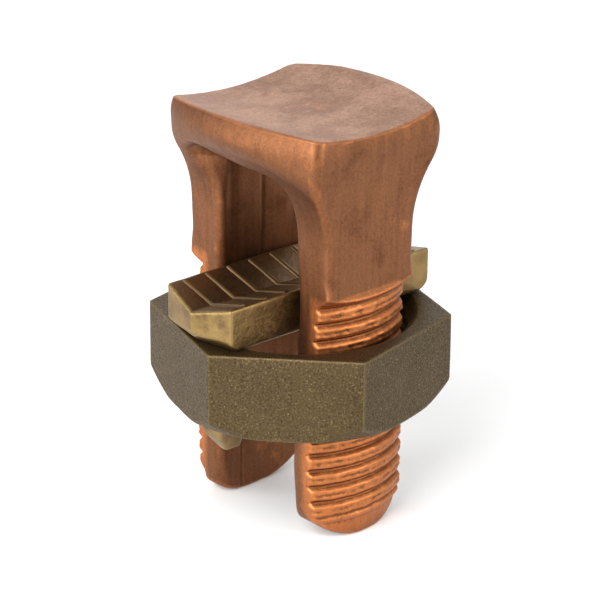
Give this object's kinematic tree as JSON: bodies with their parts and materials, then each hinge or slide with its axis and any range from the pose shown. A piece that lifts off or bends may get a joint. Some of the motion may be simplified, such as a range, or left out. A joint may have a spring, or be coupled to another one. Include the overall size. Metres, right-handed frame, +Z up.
{
  "type": "split bolt connector",
  "caption": "Slotted copper bolt with a hex nut that drives a captive pressure bar up the slot, to clamp wires under the bolt's dished head.",
  "frame": {"origin": "on the bolt's axis, level with the leg tips that it stands on", "axes": "+Z up along the bolt to its head; +X along the slot, the way the wires lie; +Y across the two legs"},
  "size_m": [0.036, 0.0354, 0.0527],
  "materials": {
    "forged_copper": "satin",
    "tarnished_bronze": "satin",
    "cast_bronze": "matte"
  },
  "bodies": {
    "split_bolt": {"split_bolt": "forged_copper"},
    "pressure_bar": {"pressure_bar": "tarnished_bronze"},
    "hex_nut": {"hex_nut": "cast_bronze"}
  },
  "joints": [
    {"name": "bar_travel", "type": "slide", "parent": "split_bolt", "child": "pressure_bar", "axis": [0, 0, 1], "range_m": [-0.0125, 0.0053]},
    {"name": "nut_spin", "type": "hinge", "parent": "pressure_bar", "child": "hex_nut", "pos_m": [0, 0, 0.0209], "axis": [0, 0, 1], "range_deg": [-2144, 910]}
  ],
  "couplings": [
    {"joint": "nut_spin", "follows": "bar_travel", "rad_per_m": 2992}
  ]
}
